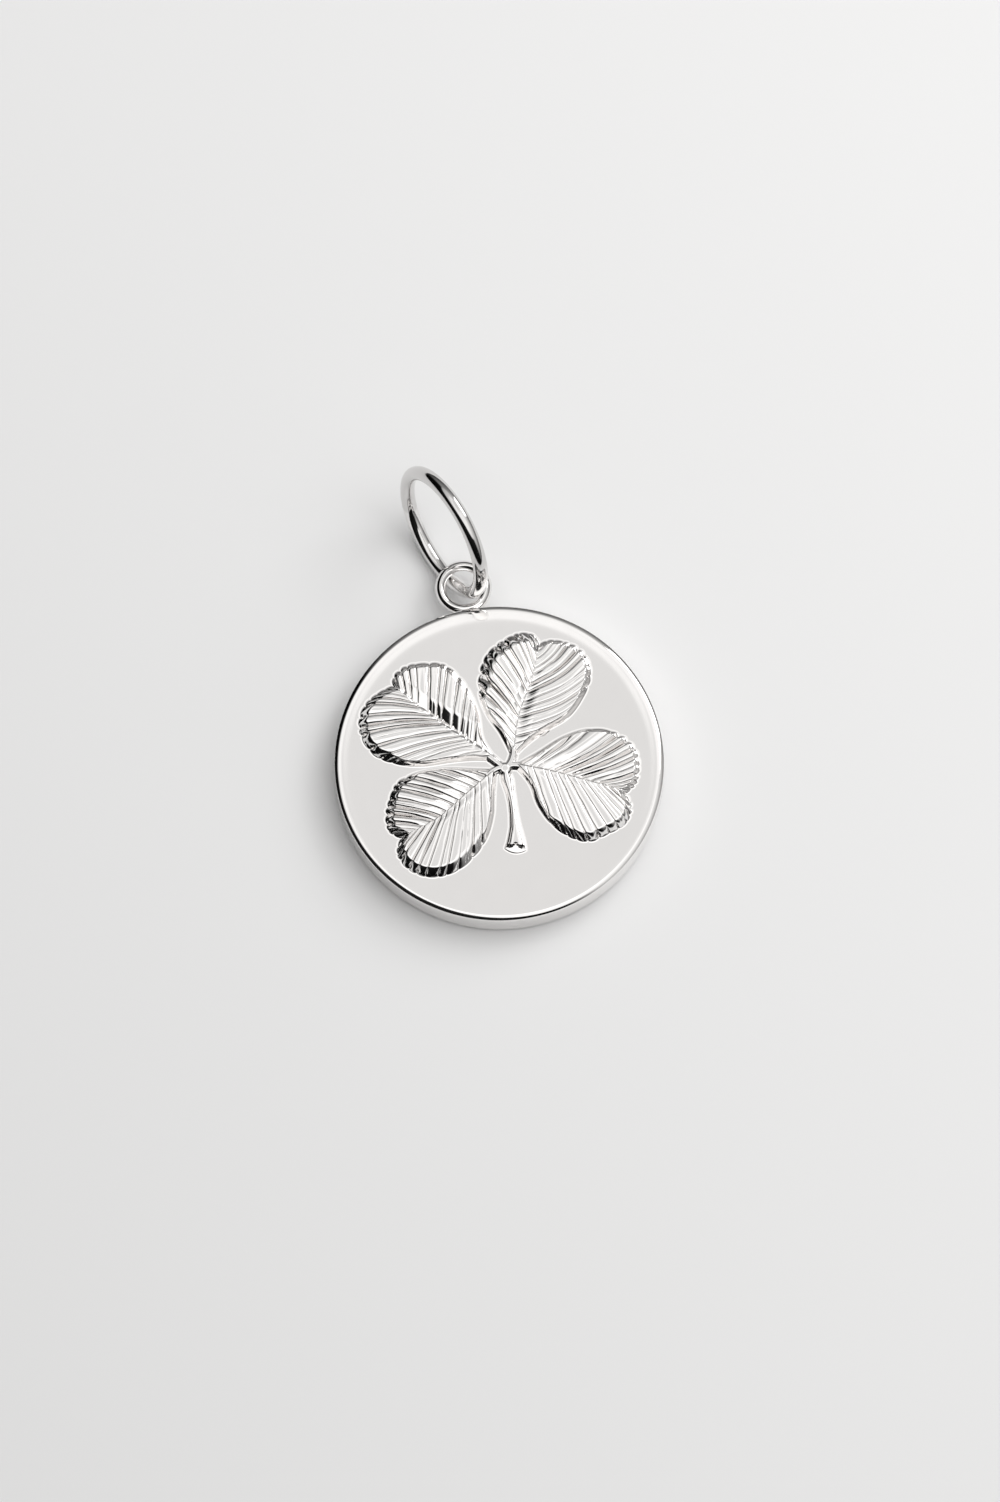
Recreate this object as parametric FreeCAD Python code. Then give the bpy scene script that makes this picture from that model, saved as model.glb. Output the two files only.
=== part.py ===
import FreeCAD, Part
import math
import os
from collections import namedtuple

# A four leaf clover pendant in cast silver, lying on its back with its bail ring leaning through the eye.
# Units are millimetres. The origin is the middle of the disc's flat back, on the surface that it lies on.
# +Z rises through the disc to the relief, +Y runs from the disc to the eye and +X is to the right.

Vector = FreeCAD.Vector

# Disc
DISC_DIAMETER = 18.0
DISC_THICKNESS = 2.1
FACE_EDGE_WIDTH = 0.45
FACE_EDGE_DROP = 0.2
BACK_EDGE_RADIUS = 0.3

# Eye, a small closed ring soldered to the rim in the disc's plane
EYE_WIRE = 0.6
EYE_DIAMETER = 3.1
EYE_SUNK_IN_RIM = 0.15
EYE_CENTRE_HEIGHT = 1.5
SOLDER_RADIUS = 0.24
SOLDER_HALF_LENGTH = 0.55

# Bail ring: it leans in the eye and its lowest point touches the surface
RING_WIRE = 0.8
RING_DIAMETER = 8.0
RING_CENTRE_X = -0.59
RING_CENTRE_Y = 12.94
RING_HEADING = 201.4
RING_LEAN = 11.3

# Clover relief
RELIEF_HEIGHT = 0.55
RELIEF_SUNK = 0.15
GROOVE_DEPTH = 0.13
SCALLOP = 0.035
STEM_HEIGHT = 0.42
STALK_WIDTH = 0.42
STALK_HEIGHT = 0.4
CLOVER_CENTRE = (0.22, -0.35)

# A lobe runs from its leaf's midrib to a scalloped tip. Its side is the smooth edge from the leaf's base
# to where the tip starts, and its last tip point is the leaf's notch. All points lie in the face, in mm.
Leaf = namedtuple("Leaf", "midrib lobes")
Lobe = namedtuple("Lobe", "flutes side tip")

UPPER_LEFT = Leaf(
    midrib=[(-0.5, 0.4), (-2.5, 2.35), (-4.0, 4.05), (-4.9, 5.35)],
    lobes=[
        Lobe(10, [(-2.5, 0.45), (-4.3, 0.55), (-5.6, 0.95)],
             [(-6.6, 1.6), (-7.1, 2.6), (-7.1, 3.7), (-6.6, 4.55), (-5.6, 5.15)]),
        Lobe(13, [(-0.6, 1.2), (-0.6, 3.0), (-0.8, 4.1)],
             [(-1.2, 5.1), (-1.9, 6.0), (-3.0, 6.3), (-4.2, 6.25), (-4.8, 5.8)]),
    ],
)
UPPER_RIGHT = Leaf(
    midrib=[(0.85, 0.3), (1.5, 2.3), (2.55, 4.15), (3.45, 6.2)],
    lobes=[
        Lobe(11, [(0.35, 1.5), (-0.15, 2.7), (-0.35, 4.0)],
             [(-0.1, 5.2), (0.5, 6.15), (1.6, 6.8), (2.6, 7.0), (3.2, 6.75)]),
        Lobe(11, [(2.5, 1.1), (4.3, 1.85), (5.2, 2.75)],
             [(5.75, 3.6), (5.9, 4.6), (5.5, 5.55), (4.7, 6.1), (3.9, 6.3)]),
    ],
)
LOWER_LEFT = Leaf(
    midrib=[(-0.4, -0.55), (-2.0, -1.5), (-4.0, -2.7), (-6.1, -3.3)],
    lobes=[
        Lobe(11, [(-1.5, -0.15), (-3.2, 0.2), (-4.8, 0.15)],
             [(-5.7, -0.15), (-6.3, -1.0), (-6.7, -2.0), (-6.65, -2.8)]),
        Lobe(12, [(-0.55, -1.6), (-0.9, -3.0), (-1.5, -4.4)],
             [(-2.2, -5.2), (-3.2, -5.95), (-4.4, -6.2), (-5.5, -5.9), (-6.2, -5.1), (-6.45, -4.1)]),
    ],
)
LOWER_RIGHT = Leaf(
    midrib=[(0.9, -0.45), (2.6, -1.15), (4.4, -2.05), (6.45, -3.1)],
    lobes=[
        Lobe(11, [(2.0, 0.05), (3.8, 0.75), (5.0, 0.9)],
             [(6.0, 0.7), (7.0, 0.05), (7.5, -0.9), (7.45, -1.8), (7.1, -2.65)]),
        Lobe(12, [(1.35, -1.5), (1.6, -2.9), (2.1, -4.2)],
             [(2.9, -5.2), (3.9, -5.8), (5.0, -5.4), (6.2, -4.8), (6.6, -4.0)]),
    ],
)
LEAVES = [UPPER_LEFT, UPPER_RIGHT, LOWER_LEFT, LOWER_RIGHT]

# A lobe's cross profile, from the valley beside the midrib to the tip's edge
Row = namedtuple("Row", "across height groove")
ROWS = [
    Row(0.03, 0.55, 0.2),
    Row(0.2, 0.85, 0.8),
    Row(0.5, 1.0, 1.0),
    Row(0.8, 0.95, 1.0),
    Row(0.94, 0.75, 0.9),
    Row(1.0, 0.45, 0.5),
]
SIDE_HEIGHT = 0.5
NOTCH_HEIGHT = 0.5

# The stem from the centre to its flared, cut end
Station = namedtuple("Station", "x y width")
STEM = [
    Station(0.24, -0.3, 0.5),
    Station(0.25, -0.8, 0.6),
    Station(0.27, -1.5, 0.42),
    Station(0.27, -2.5, 0.36),
    Station(0.2, -3.4, 0.42),
    Station(0.12, -4.2, 0.58),
    Station(0.03, -4.8, 0.92),
    Station(-0.1, -5.25, 1.2),
]

# A stem's section, as shares of its half width and of its height
SECTION = [(1.0, 0.1), (0.85, 0.55), (0.45, 0.9), (0.0, 1.0), (-0.45, 0.9), (-0.85, 0.55), (-1.0, 0.1)]


def curve_points(points, count):
    """Evenly spaced points along a smooth curve through the given face points."""
    curve = Part.BSplineCurve()
    curve.interpolate([Vector(x, y, 0) for x, y in points])
    return curve.toShape().discretize(Number=count)


def strip(first, second):
    """Triangles between two rows of points, whose counts may differ."""
    triangles = []
    i = j = 0
    while i < len(first) - 1 or j < len(second) - 1:
        first_is_behind = (i + 1) * (len(second) - 1) <= (j + 1) * (len(first) - 1)
        if i < len(first) - 1 and (first_is_behind or j == len(second) - 1):
            triangles.append((first[i], second[j], first[i + 1]))
            i += 1
        else:
            triangles.append((first[i], second[j], second[j + 1]))
            j += 1
    return triangles


def triangle_faces(triangles):
    """Flat faces of the triangles that have an area."""
    faces = []
    for a, b, c in triangles:
        if (b - a).cross(c - a).Length > 1e-7:
            faces.append(Part.Face(Part.makePolygon([a, b, c, a])))
    return faces


def closed_solid(faces):
    """One solid bounded by flat faces that share their edges."""
    shell = Part.makeCompound(faces)
    shell.sewShape(1e-5)
    solid = Part.makeSolid(shell.Shells[0] if shell.Shells else shell)
    if solid.Volume < 0:
        solid.reverse()
    return solid


def relief_solid(top_triangles, outline):
    """A raised piece on the face: its top, walls under its outline and a flat foot inside the disc."""
    foot_height = DISC_THICKNESS - RELIEF_SUNK
    foot = [Vector(p.x, p.y, foot_height) for p in outline]
    walls = strip(outline + outline[:1], foot + foot[:1])
    faces = triangle_faces(top_triangles + walls)
    faces.append(Part.Face(Part.makePolygon(foot + foot[:1])))
    return closed_solid(faces)


def lobe_rows(leaf, lobe):
    """Rows of points over a lobe, from the midrib to the tip, each from the leaf's base to its notch."""
    columns = 2 * lobe.flutes
    base = leaf.midrib[0]
    notch = leaf.midrib[-1]
    midrib = curve_points(leaf.midrib, columns + 1)
    tip = curve_points(lobe.side[-1:] + lobe.tip + [notch], columns + 1)
    rows = []
    for row in ROWS:
        side_bulge = side_offset([base] + lobe.side, row.across)
        points = []
        for column in range(columns + 1):
            along = column / columns
            is_groove = column % 2 == 0
            across = row.across * (1 - SCALLOP if is_groove and 0 < column < columns else 1)
            point = midrib[column] * (1 - across) + tip[column] * across + side_bulge * (1 - along) ** 2
            share = row.height
            if column == 0:
                share = min(share, SIDE_HEIGHT)
            share += (NOTCH_HEIGHT - share) * along ** 6
            height = RELIEF_HEIGHT * share
            if is_groove and 0 < column < columns:
                height -= GROOVE_DEPTH * row.groove
            points.append(Vector(point.x, point.y, DISC_THICKNESS + height))
        rows.append(points)
    return rows


def side_offset(side, across):
    """How far a lobe's curved side lies from its own chord, at a share of its length."""
    steps = 100
    points = curve_points(side, steps + 1)
    chord = points[0] * (1 - across) + points[-1] * across
    return points[round(across * steps)] - chord


def leaf_solid(leaf):
    """One leaf: two fluted lobes that meet in the valley along the midrib."""
    first, second = [lobe_rows(leaf, lobe) for lobe in leaf.lobes]
    triangles = strip(first[0], second[0])
    for rows in (first, second):
        for near, far in zip(rows, rows[1:]):
            triangles += strip(near, far)
    first_side = [row[0] for row in first[:-1]]
    second_side = [row[0] for row in second[:-1]]
    outline = first_side + first[-1] + second[-1][-2::-1] + second_side[::-1]
    return relief_solid(triangles, outline)


def ridge_solid(stations, height):
    """A raised rib along the stations, with a rounded back."""
    profiles = []
    for index, station in enumerate(stations):
        before = stations[max(index - 1, 0)]
        after = stations[min(index + 1, len(stations) - 1)]
        along = Vector(after.x - before.x, after.y - before.y, 0).normalize()
        sideways = Vector(along.y, -along.x, 0) * (station.width / 2)
        centre = Vector(station.x, station.y, DISC_THICKNESS)
        profiles.append([centre + sideways * share + Vector(0, 0, height * level) for share, level in SECTION])
    triangles = []
    for near, far in zip(profiles, profiles[1:]):
        triangles += strip(near, far)
    right_edge = [profile[0] for profile in profiles]
    left_edge = [profile[-1] for profile in profiles]
    outline = right_edge + profiles[-1][1:-1] + left_edge[::-1] + profiles[0][-2:0:-1]
    return relief_solid(triangles, outline)


def stalk_solid(leaf):
    """The short stalk from the clover's centre into a leaf's base."""
    centre_x, centre_y = CLOVER_CENTRE
    base_x, base_y = leaf.midrib[0]
    reach = 1.25
    end_x = centre_x + (base_x - centre_x) * reach
    end_y = centre_y + (base_y - centre_y) * reach
    stations = [Station(centre_x, centre_y, STALK_WIDTH), Station(end_x, end_y, STALK_WIDTH)]
    return ridge_solid(stations, STALK_HEIGHT)


def disc_solid():
    """The plain disc, with a soft edge round the face and a small rounding at the back."""
    radius = DISC_DIAMETER / 2
    face_corner = Vector(radius - FACE_EDGE_WIDTH, 0, DISC_THICKNESS - FACE_EDGE_DROP)
    rim_top = Vector(radius, 0, face_corner.z)
    face_end = Vector(face_corner.x, 0, DISC_THICKNESS)
    soft_edge = Part.Ellipse(rim_top, face_end, face_corner)
    back_middle = Vector(radius - BACK_EDGE_RADIUS * (1 - math.sqrt(0.5)), 0,
                         BACK_EDGE_RADIUS * (1 - math.sqrt(0.5)))
    rim_bottom = Vector(radius, 0, BACK_EDGE_RADIUS)
    back_end = Vector(radius - BACK_EDGE_RADIUS, 0, 0)
    edges = [
        Part.makeLine(Vector(0, 0, 0), back_end),
        Part.Arc(back_end, back_middle, rim_bottom).toShape(),
        Part.makeLine(rim_bottom, rim_top),
        quarter(soft_edge, rim_top, face_end),
        Part.makeLine(face_end, Vector(0, 0, DISC_THICKNESS)),
        Part.makeLine(Vector(0, 0, DISC_THICKNESS), Vector(0, 0, 0)),
    ]
    profile = Part.Face(Part.Wire(Part.__sortEdges__(edges)))
    return profile.revolve(Vector(0, 0, 0), Vector(0, 0, 1), 360)


def quarter(ellipse, start, end):
    """The quarter of an ellipse between two ends of its axes."""
    first = ellipse.parameter(start)
    last = ellipse.parameter(end)
    if (last - first) % (2 * math.pi) > math.pi:
        first, last = last, first
    return Part.ArcOfEllipse(ellipse, first, last).toShape()


def eye_centre():
    """The middle of the eye's hole."""
    reach = DISC_DIAMETER / 2 + EYE_DIAMETER / 2 - EYE_SUNK_IN_RIM
    return Vector(0, reach, EYE_CENTRE_HEIGHT)


def eye_solids():
    """The round wire eye and the bead of solder between it and the rim."""
    eye = Part.makeTorus((EYE_DIAMETER - EYE_WIRE) / 2, EYE_WIRE / 2, eye_centre(), Vector(0, 0, 1))
    rim = DISC_DIAMETER / 2
    start = Vector(-SOLDER_HALF_LENGTH, rim, EYE_CENTRE_HEIGHT)
    bead = Part.makeCylinder(SOLDER_RADIUS, 2 * SOLDER_HALF_LENGTH, start, Vector(1, 0, 0))
    left_end = Part.makeSphere(SOLDER_RADIUS, start)
    right_end = Part.makeSphere(SOLDER_RADIUS, start + Vector(2 * SOLDER_HALF_LENGTH, 0, 0))
    return [eye, bead, left_end, right_end]


def medallion_solid():
    """Disc, eye and clover, which are one piece of metal."""
    stem = ridge_solid(STEM, STEM_HEIGHT)
    leaves = [leaf_solid(leaf) for leaf in LEAVES]
    stalks = [stalk_solid(leaf) for leaf in LEAVES]
    return disc_solid().fuse(leaves + stalks + [stem] + eye_solids())


def ring_solid():
    """The loose bail ring, whose lowest point touches the surface at height 0."""
    centreline_radius = (RING_DIAMETER - RING_WIRE) / 2
    heading = math.radians(RING_HEADING)
    lean = math.radians(RING_LEAN)
    normal = Vector(math.cos(lean) * math.cos(heading), math.cos(lean) * math.sin(heading), math.sin(lean))
    centre_height = centreline_radius * math.cos(lean) + RING_WIRE / 2
    centre = Vector(RING_CENTRE_X, RING_CENTRE_Y, centre_height)
    return Part.makeTorus(centreline_radius, RING_WIRE / 2, centre, normal)


def export(name, shape):
    """Write one node, after making sure that it is one sound solid."""
    if len(shape.Solids) != 1 or not shape.isValid():
        raise ValueError(f"{name} has {len(shape.Solids)} solids, valid: {shape.isValid()}")
    shape.Solids[0].exportStep(os.path.join("parts", name + ".step"))


def main():
    """Write every node of the pendant."""
    os.makedirs("parts", exist_ok=True)
    export("medallion", medallion_solid())
    export("bail_ring", ring_solid())


main()
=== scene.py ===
import math
from collections import namedtuple

import bmesh
import bpy
import numpy as np
from mathutils import Matrix, Vector


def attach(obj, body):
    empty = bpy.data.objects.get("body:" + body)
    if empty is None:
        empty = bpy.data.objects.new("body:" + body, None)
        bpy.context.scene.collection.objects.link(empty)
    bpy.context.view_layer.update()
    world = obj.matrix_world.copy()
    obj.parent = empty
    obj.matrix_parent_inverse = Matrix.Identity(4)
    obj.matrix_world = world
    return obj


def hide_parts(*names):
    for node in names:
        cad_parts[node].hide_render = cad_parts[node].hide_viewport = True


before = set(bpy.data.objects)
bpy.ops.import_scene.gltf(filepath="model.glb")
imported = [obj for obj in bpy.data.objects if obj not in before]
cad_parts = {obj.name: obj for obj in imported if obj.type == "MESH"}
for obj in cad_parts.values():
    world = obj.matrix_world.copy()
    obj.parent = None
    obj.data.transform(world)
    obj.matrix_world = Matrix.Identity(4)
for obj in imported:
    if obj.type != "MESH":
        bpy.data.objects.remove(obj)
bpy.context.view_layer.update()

# A four leaf clover pendant in polished silver, lying on its back, with its bail ring leaning in the eye.
# Lengths in the tables are millimetres in the disc's face, with +Y towards the eye. MM turns them to metres.
MM = 0.001

# Disc
DISC_RADIUS = 9.0
FACE_HEIGHT = 2.1
BACK_EDGE_RADIUS = 0.3
BACK_EDGE_STEPS = 8
WALL_STEPS = 4
FACE_EDGE_STEPS = 5
DISC_SEGMENTS = 360
# The polished edge of the face, from the top of the wall inwards: out from the rim, and up from the face
FACE_EDGE = [
    (0.0, -0.2), (-0.006, -0.186), (-0.03, -0.165), (-0.16, -0.085), (-0.22, -0.062),
    (-0.32, -0.048), (-0.5, -0.034), (-0.8, -0.013), (-1.2, 0.0),
]

# Rings of round wire: the soldered eye and the loose bail ring
EYE_WIRE = 0.6
EYE_DIAMETER = 3.1
# The power of the wire's section: 2 is round, and less is pressed towards a square that stands on its corner
EYE_WIRE_ROUNDNESS = 1.6
EYE_CENTRE = (0.0, 10.4, 1.5)
SOLDER_RADIUS = 0.24
SOLDER_HALF_LENGTH = 0.35
RING_WIRE = 0.8
RING_DIAMETER = 8.0
RING_CENTRE_X = -0.59
RING_CENTRE_Y = 12.94
RING_HEADING = 201.4
RING_LEAN = 11.3

# Painted shade: how much darker the hand drawn wire is painted than the disc, to stand in for the shaded
# table and dark surroundings that it mirrors, from where along Y, and how much of that painted shade holds
# for the eye, which lies within a level of its own centre height
WIRE_PAINTED_SHADE = 0.24
WIRE_START = 9.3
WIRE_BLEND = 0.9
EYE_PAINTED_SHADE_SHARE = 0.3
EYE_LEVEL = 0.3
EYE_LEVEL_BLEND = 0.15
SCUFF_SCALE = 900.0
SCUFF_SHADE = 0.04
SILVER_SHADE = 0.94
SILVER_GREEN = 0.985
SILVER_BLUE = 0.975
SMOOTHEST = 0.04
SCUFF_ROUGHNESS = 0.07
WAVE_SCALE = 260.0
WAVE_HEIGHT = 0.012
HAIRLINE_SCALE = (9000.0, 700.0, 3000.0)
HAIRLINE_TURN = 0.6
HAIRLINE_HEIGHT = 0.01
HAIRLINE_STRENGTH = 0.05

# Clover relief
RELIEF_HEIGHT = 0.55
STEM_HEIGHT = 0.42
STALK_HEIGHT = 0.42
FOOT_DEPTH = 0.15
SIDE_SLOPE = 0.2
FILLET_HEIGHT = 0.035
FILLET_WIDTH = 0.24
FLUTES = 13
FLUTE_SHIFT = 0.22
SCALLOP = 0.09
STREAK_HEIGHT = 0.008
# How a groove's depth drifts: its least and most share, by the flute, by the metre from the midrib, by lobe
LEAST_GROOVE = 0.15
MOST_GROOVE = 1.6
DRIFT_ACROSS = 1.7
DRIFT_ALONG = 900.0
DRIFT_APART = 3.1
MIDRIB_OVERLAP = 0.06
# Shares of a lobe's length: over which its overlap ends, and its side becomes its tip
OVERLAP_END = 0.04
TIP_BLEND = 0.08
STEM_BULGE = 0.2
STALK_BULGE = 0.1
HUB_CENTRE = (0.23, -0.5)
HUB_RADIUS = 0.42
HUB_HEIGHT = 0.38
HUB_SHOULDER = 5
HUB_EDGE_HEIGHT = 0.02

# Smoothing: the angle that stays a crease in degrees, and the lengths that count as none, in metres
CREASE = 48.0
SAME_POINT = 2e-7
NO_LENGTH = 1e-8

# Studio light. Each light is a brightness. A height is that of a direction, from 0 at the horizon to 1
# overhead, and a facing runs from -1, away from a heading, to 1, towards it. A blend is the width of an edge.
FRONT_LIGHT = 1.22
BACK_LIGHT = 0.8
LIGHT_GREEN = 0.993
LIGHT_BLUE = 0.985
BACK_BAND_LIGHT = 1.06
BACK_BAND_HEIGHT = 0.84
BACK_BAND_BLEND = 0.05
# The grey cap overhead, which the level face mirrors, with the cosine of its half angle
OVERHEAD_LIGHT = 0.8
OVERHEAD_LEAN = 13.0
OVERHEAD_HEADING = 79.0
OVERHEAD_REACH = 0.9744
OVERHEAD_BLEND = 0.0165
# The light fades towards the horizon, and more on the wall behind the pendant
HORIZON_SHARE = 0.15
HORIZON_TOP = 0.88
HORIZON_POWER = 1.5
WALL_HEADING = 111.0
WALL_SHARE = 0.6
WALL_FACING = 0.45
WALL_FACING_BLEND = 0.4
WALL_TOP = 0.6
WALL_TOP_BLEND = 0.15
# The dark side, which the metal mirrors as black
DARK_HEADING = 207.0
DARK_FACING = -0.3
DARK_FACING_BLEND = 0.4
DARK_TOP = 0.62
DARK_TOP_BLEND = 0.06
DARK_FOOT = -0.02
DARK_FOOT_BLEND = 0.05
DARK_PEAK_HEADING = 228.0
DARK_PEAK_RISE = 0.2
DARKNESS = 0.985
# The studio's lamps, in metres: only the softbox is mirrored by the metal
Lamp = namedtuple("Lamp", "name size energy place is_mirrored")
LAMPS = [
    Lamp("softbox", 0.26, 0.5, (0.34, 0.22, 0.30), True),
    Lamp("ceiling", 0.6, 1.35, (0.3, 0.05, 0.6), False),
]

# Table top: its half width and its gap under the pendant in metres, its shade, and a painted light falloff:
# how far the shade swings, and how fast it grows to the right and to the back, by the metre
TABLE_REACH = 0.6
TABLE_GAP = 0.00002
TABLE_SHADE = 0.91
TABLE_PAINTED_LIGHT_SPREAD = 0.08
TABLE_PAINTED_LIGHT_RIGHT = 16.0
TABLE_PAINTED_LIGHT_BACK = 7.0

# Camera: degrees off the disc's axis, degrees that the eye is turned to the left of the picture's top, and
# the picture's height and middle in the face's plane
CAMERA_TILT = 17.5
CAMERA_TURN = 10.86
FRAME_HEIGHT = 82.02
FRAME_MIDDLE = (0.044, 0.6)
LENS = 500.0
SENSOR = 36.0

# A leaf's midrib runs from its base to its notch. A lobe's margin runs from the base along its smooth side,
# round its scalloped tip and to the notch. Its flutes run from the midrib to the margin: sweep tells how
# early they reach the tip, and bend how much they curve. Valley is the lobe's height at the midrib as a
# share of its full height, fold the width of the slope beside the midrib, crease how straight that slope is,
# and slope the width of the tip's steep edge. Groove is the flutes' depth, fullness the power of the ribs'
# section, which is full and flat where it is low, deep the number of the deepest groove, and ragged how far
# ribs reach over the midrib.
Leaf = namedtuple("Leaf", "name midrib lobes")
Lobe = namedtuple("Lobe", "name sweep bend valley fold crease slope groove fullness deep ragged side tip")

LEAVES = [
    Leaf("upper_left", [(-0.5, 0.4), (-2.5, 2.35), (-4.0, 4.05), (-4.9, 5.35)], [
        Lobe("lower", 0.52, 0.03, 0.9, 0.5, 0.0, 0.45, 0.1, 0.34, 7, 0.12,
             [(-0.4, 0.12), (-1.3, 0.33), (-2.5, 0.45), (-4.3, 0.55), (-5.6, 0.95)],
             [(-6.6, 1.6), (-7.1, 2.6), (-7.1, 3.7), (-6.6, 4.55), (-5.6, 5.15)]),
        Lobe("upper", 0.68, 0.0, 0.0, 1.25, 1.0, 0.32, 0.09, 0.4, 11, 0.0,
             [(-0.3, 0.5), (-0.6, 1.3), (-0.6, 3.0), (-0.8, 4.1)],
             [(-1.2, 5.1), (-1.9, 6.0), (-3.0, 6.3), (-4.2, 6.25), (-4.8, 5.8)]),
    ]),
    Leaf("upper_right", [(0.85, 0.3), (1.5, 2.3), (2.55, 4.15), (3.45, 6.2)], [
        Lobe("left", 0.58, 0.02, 0.65, 0.8, 0.0, 0.6, 0.1, 0.4, 4, 0.0,
             [(0.66, 0.35), (0.35, 1.5), (-0.15, 2.7), (-0.35, 4.0)],
             [(-0.1, 5.2), (0.5, 6.15), (1.6, 6.8), (2.6, 7.0), (3.2, 6.75)]),
        Lobe("right", 0.52, 0.08, 0.55, 1.1, 0.0, 0.3, 0.1, 0.36, 8, 0.0,
             [(1.0, 0.2), (1.5, 0.55), (2.5, 1.1), (4.3, 1.85), (5.2, 2.75)],
             [(5.75, 3.6), (5.9, 4.6), (5.5, 5.55), (4.7, 6.1), (3.9, 6.3)]),
    ]),
    Leaf("lower_left", [(-0.4, -0.55), (-2.0, -1.5), (-4.0, -2.7), (-6.1, -3.3)], [
        Lobe("upper", 0.55, 0.02, 0.65, 1.5, 0.0, 0.44, 0.15, 0.5, 9, 0.0,
             [(-0.4, -0.4), (-1.5, -0.15), (-3.2, 0.2), (-4.8, 0.15)],
             [(-5.7, -0.15), (-6.3, -1.0), (-6.7, -2.0), (-6.65, -2.8)]),
        Lobe("lower", 0.52, 0.0, 0.85, 0.6, 0.0, 0.46, 0.08, 0.34, 10, 0.0,
             [(-0.3, -0.7), (-0.55, -1.6), (-0.9, -3.0), (-1.5, -4.2)],
             [(-2.2, -4.95), (-3.2, -5.6), (-4.3, -5.85), (-5.4, -5.6), (-6.15, -4.95), (-6.45, -4.1)]),
    ]),
    Leaf("lower_right", [(0.9, -0.45), (2.6, -1.15), (4.4, -2.05), (6.45, -3.1)], [
        Lobe("upper", 0.42, 0.05, 0.45, 1.5, 0.0, 0.26, 0.2, 0.62, 5, 0.0,
             [(1.0, -0.3), (2.0, 0.05), (3.8, 0.75), (5.0, 0.9)],
             [(6.0, 0.7), (7.0, 0.05), (7.5, -0.9), (7.45, -1.8), (7.1, -2.65)]),
        Lobe("lower", 0.53, 0.0, 0.9, 0.6, 0.0, 0.4, 0.08, 0.34, 11, 0.05,
             [(0.85, -0.6), (1.35, -1.5), (1.6, -2.9), (2.15, -4.1)],
             [(2.95, -4.95), (3.95, -5.42), (5.0, -5.2), (6.2, -4.7), (6.6, -4.0)]),
    ]),
]

# The stem and the stalks, from the hub outwards
Station = namedtuple("Station", "x y width")
STEM = [
    Station(0.24, -0.5, 0.42),
    Station(0.22, -0.9, 0.62),
    Station(0.24, -1.5, 0.46),
    Station(0.24, -2.5, 0.4),
    Station(0.18, -3.4, 0.44),
    Station(0.1, -4.2, 0.56),
    Station(0.0, -4.8, 0.85),
    Station(-0.08, -5.1, 1.15),
]
STALKS = [
    [Station(0.23, -0.5, 0.4), Station(-0.08, -0.15, 0.42),
     Station(-0.32, 0.15, 0.46), Station(-0.75, 0.65, 0.4)],
    [Station(0.25, -0.5, 0.4), Station(0.6, -0.2, 0.42),
     Station(0.8, 0.15, 0.4), Station(0.95, 0.7, 0.3)],
    [Station(0.23, -0.5, 0.4), Station(-0.1, -0.42, 0.42),
     Station(-0.4, -0.5, 0.42), Station(-0.9, -0.8, 0.35)],
    [Station(0.25, -0.5, 0.4), Station(0.6, -0.38, 0.42),
     Station(0.95, -0.45, 0.42), Station(1.5, -0.75, 0.35)],
]
RIB_ROWS = 15
RIB_STEPS = 14
# Shares of a rib's length: where its end starts to bulge, and where it becomes a tip
BULGE_START = 0.85
RIB_TIP = 0.95
RIB_TIP_BLEND = 0.03

# Where a lobe's rows and columns of points lie: close together at the midrib, the margin and each groove
MIDRIB_ROWS = [0.0, 0.04, 0.1, 0.18, 0.28, 0.4, 0.55]
MIDDLE_ROWS = 12
MARGIN_ROWS = [0.64, 0.54, 0.47, 0.42, 0.36, 0.3, 0.23, 0.16, 0.09, 0.03, 0.0]
SHORTEST_FULL_ROWS = 1.4
FIRST_COLUMNS = [0.0, 0.01, 0.03]
FLUTE_COLUMNS = [0.0, 0.06, 0.14, 0.26, 0.38, 0.46, 0.5, 0.54, 0.62, 0.74, 0.86, 0.94]
FILLET_ROWS = [0.02, 0.07, 0.15, 0.26, 0.4, 0.56, 0.75, 1.0]


class Field:
    """A number in a node tree that can be added, multiplied and so on, each step being one node."""

    def __init__(self, tree, socket):
        self.tree = tree
        self.socket = socket

    def step(self, operation, *others):
        node = self.tree.nodes.new("ShaderNodeMath")
        node.operation = operation
        for place, value in enumerate((self,) + others):
            if isinstance(value, Field):
                self.tree.links.new(value.socket, node.inputs[place])
            else:
                node.inputs[place].default_value = value
        return Field(self.tree, node.outputs[0])

    def __add__(self, other):
        return self.step("ADD", other)

    def __sub__(self, other):
        return self.step("SUBTRACT", other)

    def __mul__(self, other):
        return self.step("MULTIPLY", other)

    def __truediv__(self, other):
        return self.step("DIVIDE", other)

    def __pow__(self, other):
        return self.step("POWER", other)

    def rest(self):
        """One less this number."""
        return (self * -1.0) + 1.0

    def between(self, low, high):
        return self.step("MAXIMUM", low).step("MINIMUM", high)

    def smooth(self):
        """An eased rise from 0 to 1 for a number from 0 to 1."""
        eased = self.between(0.0, 1.0)
        return eased * eased * (eased * -2.0 + 3.0)


def new_node(tree, kind, inputs=None, **settings):
    """A node with its settings and its inputs, by name or place."""
    node = tree.nodes.new(kind)
    for name, value in settings.items():
        setattr(node, name, value)
    for name, value in (inputs or {}).items():
        if isinstance(value, Field):
            tree.links.new(value.socket, node.inputs[name])
        elif isinstance(value, bpy.types.NodeSocket):
            tree.links.new(value, node.inputs[name])
        else:
            node.inputs[name].default_value = value
    return node


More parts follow.
